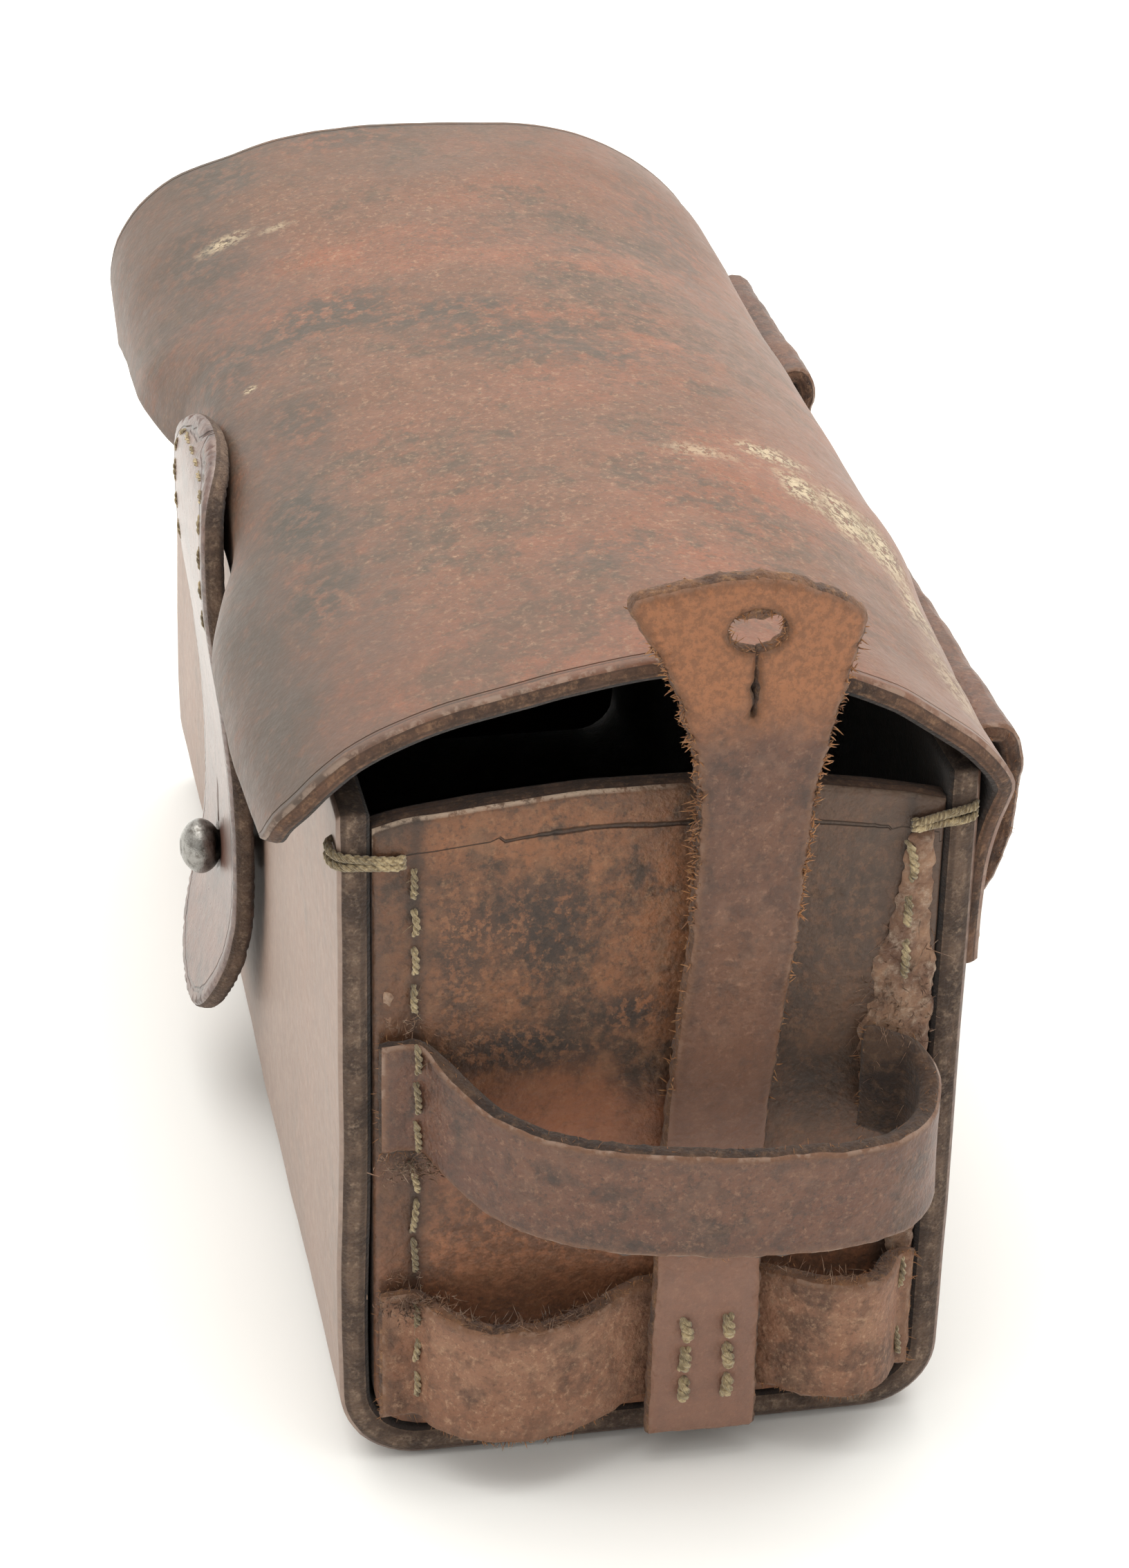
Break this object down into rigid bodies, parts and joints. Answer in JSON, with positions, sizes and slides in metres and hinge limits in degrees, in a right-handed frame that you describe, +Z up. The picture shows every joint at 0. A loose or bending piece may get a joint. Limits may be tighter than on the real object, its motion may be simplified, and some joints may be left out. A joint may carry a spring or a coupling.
{
  "type": "leather instrument case",
  "caption": "Oblong stitched leather case with an arched flap, a closing tab on a ball stud, loops and a keyhole strap on each end, and belt loops behind.",
  "frame": {"origin": "centre of the underside, on the flat face the case stands on", "axes": "+X along the length towards the right end, -Y towards the front with the closing tab, +Z up"},
  "size_m": [0.23, 0.0991, 0.1216],
  "materials": {
    "wrap_leather": "polished russet leather, dark rough cut edges",
    "flap_leather": "reddish brown leather, mottled and scuffed, satin",
    "panel_leather": "orange-brown leather with dark stains, satin",
    "strap_leather": "mauve-brown strap leather with fuzzy tan edges",
    "thread": "waxed linen thread, straw",
    "nickel": "bright plated, slightly worn"
  },
  "bodies": {
    "case": {"body_wrap": "wrap_leather", "flap_root": "flap_leather", "stud_ball": "nickel", "stud_screw": "nickel", "stud_washer": "nickel", "flap_seam_thread": "thread", "right_gusset": "panel_leather", "right_upper_loop": "strap_leather", "right_lower_loop": "strap_leather", "right_strap_lower": "strap_leather", "right_belt_loop": "strap_leather", "right_front_seam_thread": "thread", "right_back_seam_thread_upper": "thread", "right_back_seam_thread_lower": "thread", "right_bottom_seam_thread": "thread", "right_strap_thread_front": "thread", "right_strap_thread_back": "thread", "right_belt_loop_thread_upper": "thread", "right_belt_loop_thread_lower": "thread", "left_gusset": "panel_leather", "left_upper_loop": "strap_leather", "left_lower_loop": "strap_leather", "left_strap_lower": "strap_leather", "left_belt_loop": "strap_leather", "left_front_seam_thread": "thread", "left_back_seam_thread_upper": "thread", "left_back_seam_thread_lower": "thread", "left_bottom_seam_thread": "thread", "left_strap_thread_front": "thread", "left_strap_thread_back": "thread", "left_belt_loop_thread_upper": "thread", "left_belt_loop_thread_lower": "thread"},
    "flap": {"flap": "flap_leather", "closing_tab_root": "strap_leather", "closing_tab_thread": "thread"},
    "tab": {"closing_tab_tongue": "strap_leather"},
    "right_strap": {"right_strap_upper": "strap_leather"},
    "left_strap": {"left_strap_upper": "strap_leather"}
  },
  "joints": [
    {"name": "flap_open", "type": "hinge", "parent": "case", "child": "flap", "pos_m": [0, 0.0448, 0.089], "axis": [-1, 0, 0], "range_deg": [0, 140]},
    {"name": "tab_lift", "type": "hinge", "parent": "flap", "child": "tab", "pos_m": [0, -0.0443, 0.074], "axis": [-1, 0, 0], "range_deg": [0, 110]},
    {"name": "right_strap_bend", "type": "hinge", "parent": "case", "child": "right_strap", "pos_m": [0.0983, 0.008, 0.06245], "axis": [0, 1, 0], "range_deg": [0, 90]},
    {"name": "left_strap_lift", "type": "hinge", "parent": "case", "child": "left_strap", "pos_m": [-0.117, 0.008, 0.06125], "axis": [0, 1, 0], "range_deg": [0, 120]}
  ]
}
